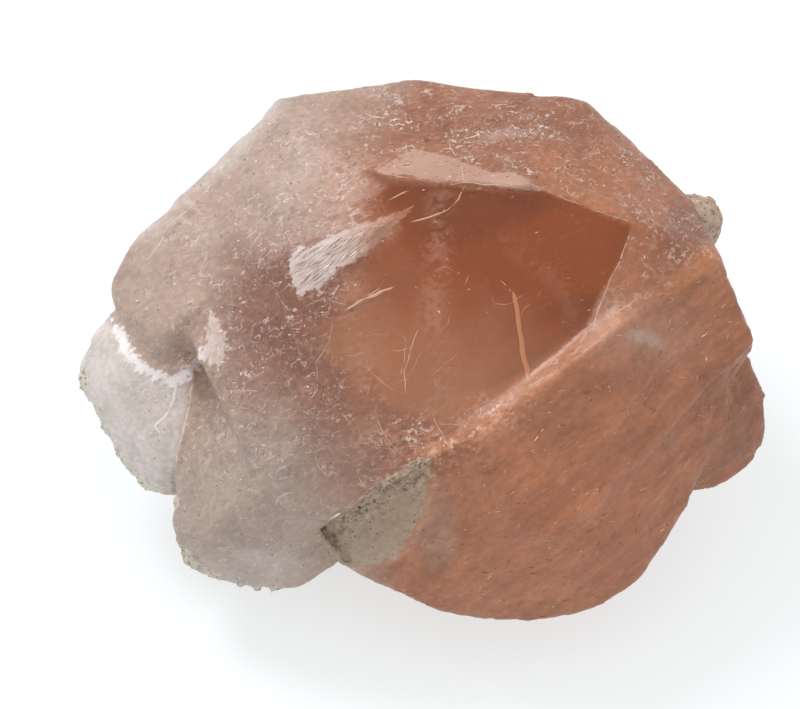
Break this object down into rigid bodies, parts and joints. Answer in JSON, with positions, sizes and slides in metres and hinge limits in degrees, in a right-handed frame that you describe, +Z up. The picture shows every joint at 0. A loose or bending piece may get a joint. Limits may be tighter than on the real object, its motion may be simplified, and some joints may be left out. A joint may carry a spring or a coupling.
{
  "type": "rough morganite",
  "caption": "Rough pink-orange beryl crystal with a broad leaning face, a clear window, a milky side and worn lobes, resting on a small flat spot.",
  "frame": {"origin": "centre of the bounding box's base, on the surface that the stone rests on", "axes": "+Z up, +X along the stone's width, to the right as seen from the front, and -Y towards the viewer of the broad face, which leans back"},
  "size_m": [0.0478, 0.0352, 0.0287],
  "materials": {
    "morganite": "satin"
  },
  "bodies": {
    "root": {"morganite_crystal": "morganite"}
  },
  "joints": []
}
